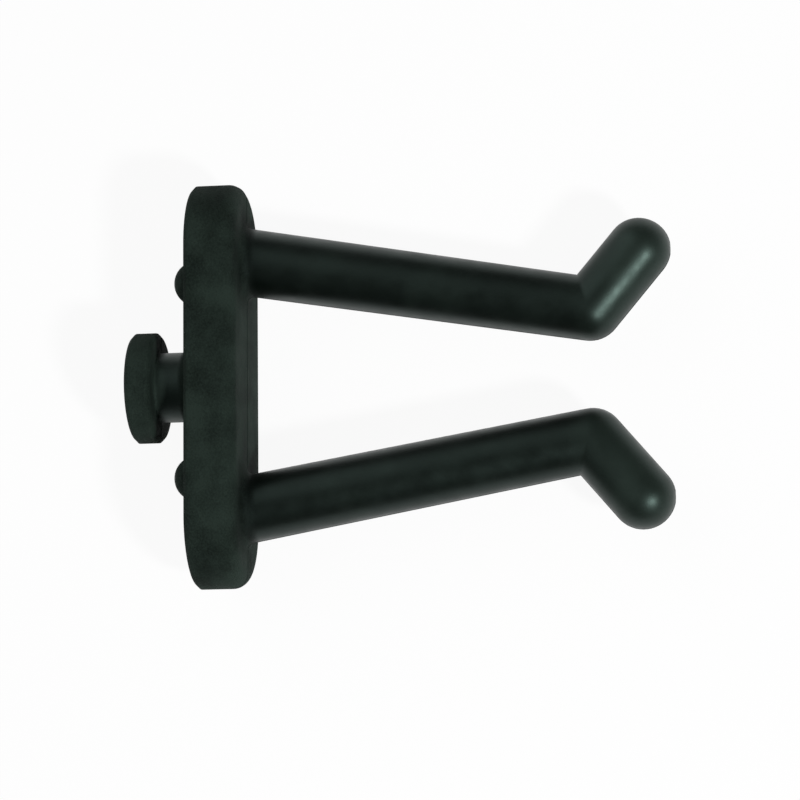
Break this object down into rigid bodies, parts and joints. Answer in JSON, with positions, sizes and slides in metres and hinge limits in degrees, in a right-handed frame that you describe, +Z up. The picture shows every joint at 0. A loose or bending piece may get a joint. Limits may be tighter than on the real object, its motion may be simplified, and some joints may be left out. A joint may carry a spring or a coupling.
{
  "type": "pegboard hook",
  "caption": "forked plastic tool hook for a perforated board: round-ended plate, mushroom stud and ribs behind, leaning round prongs with out-turned domed tips in front",
  "frame": {"origin": "on the stud's axis, in the plane of the plate's back face, where the stud's neck starts", "axes": "+Y along the stud into the board and away from the prongs, X along the plate from side to side, +Z up"},
  "size_m": [0.036, 0.0477, 0.0122],
  "materials": {
    "black_plastic": "black, semi-gloss as moulded"
  },
  "bodies": {
    "root": {"forked_hook": "black_plastic"}
  },
  "joints": []
}
